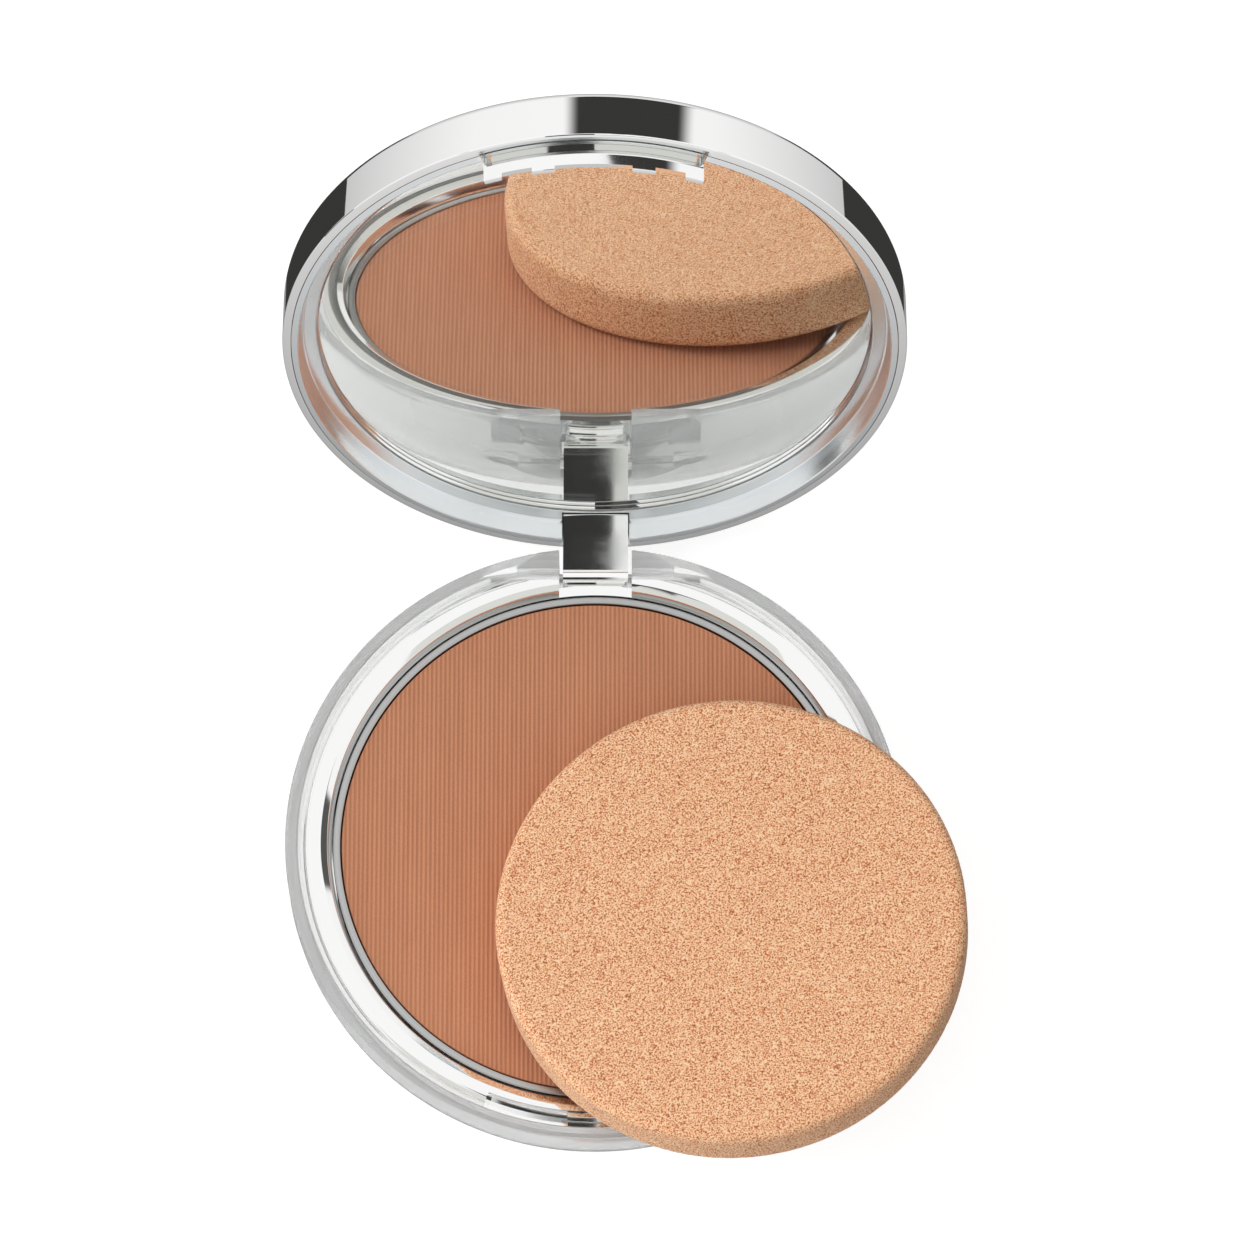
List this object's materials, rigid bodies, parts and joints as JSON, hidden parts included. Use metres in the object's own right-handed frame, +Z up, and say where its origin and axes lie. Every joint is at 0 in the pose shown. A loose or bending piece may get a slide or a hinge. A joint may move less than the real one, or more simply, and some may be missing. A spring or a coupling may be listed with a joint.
{
  "type": "powder compact",
  "caption": "Round pressed powder compact with a clear base, a silvered tray, a hinged chrome lid with a mirror, and a loose foam sponge.",
  "frame": {"origin": "centre of the base's flat underside", "axes": "+Z up out of the base, towards the powder; -Y towards the catch at the front; the hinge is at +Y"},
  "size_m": [0.0801, 0.1109, 0.0707],
  "materials": {
    "clear_shell": "clear moulded plastic, polished",
    "silvered_tray": "vacuum-metallised plastic, bright",
    "pan_aluminium": "plain rolled edge",
    "pressed_powder": "matte pressed powder with fine pressed ribs",
    "adhesive": "matte",
    "pin_steel": "plain drawn wire",
    "label": "blank white paper",
    "lid_chrome": "bright chrome plating",
    "silvered_frame": "vacuum-metallised plastic, bright",
    "clasp_chrome": "bright chrome plating",
    "mirror_glass": "back-silvered glass",
    "sponge_foam": "fine-pored latex foam, matte"
  },
  "bodies": {
    "base": {"base_shell": "clear_shell", "base_tray": "silvered_tray", "powder_pan": "pan_aluminium", "pressed_powder": "pressed_powder", "pan_adhesive": "adhesive", "hinge_pin_left": "pin_steel", "hinge_pin_right": "pin_steel", "base_label": "label"},
    "lid": {"lid_shell": "lid_chrome", "lid_frame": "silvered_frame", "lid_clasp": "clasp_chrome", "mirror_glass": "mirror_glass", "mirror_tape": "adhesive"},
    "sponge": {"sponge": "sponge_foam"}
  },
  "joints": [
    {"name": "lid_hinge", "type": "hinge", "parent": "base", "child": "lid", "pos_m": [0, 0.0346, 0.006], "axis": [1, 0, 0], "range_deg": [0, 110.2]},
    {"name": "sponge_turnover", "type": "hinge", "parent": "base", "child": "sponge", "pos_m": [0.03394, -0.03394, 0.01107], "axis": [0.7071, 0.7071, 0], "range_deg": [0, 185.2]}
  ],
  "couplings": [
    {"joint": "sponge_turnover", "follows": "lid_hinge", "ratio": 1.6806}
  ]
}
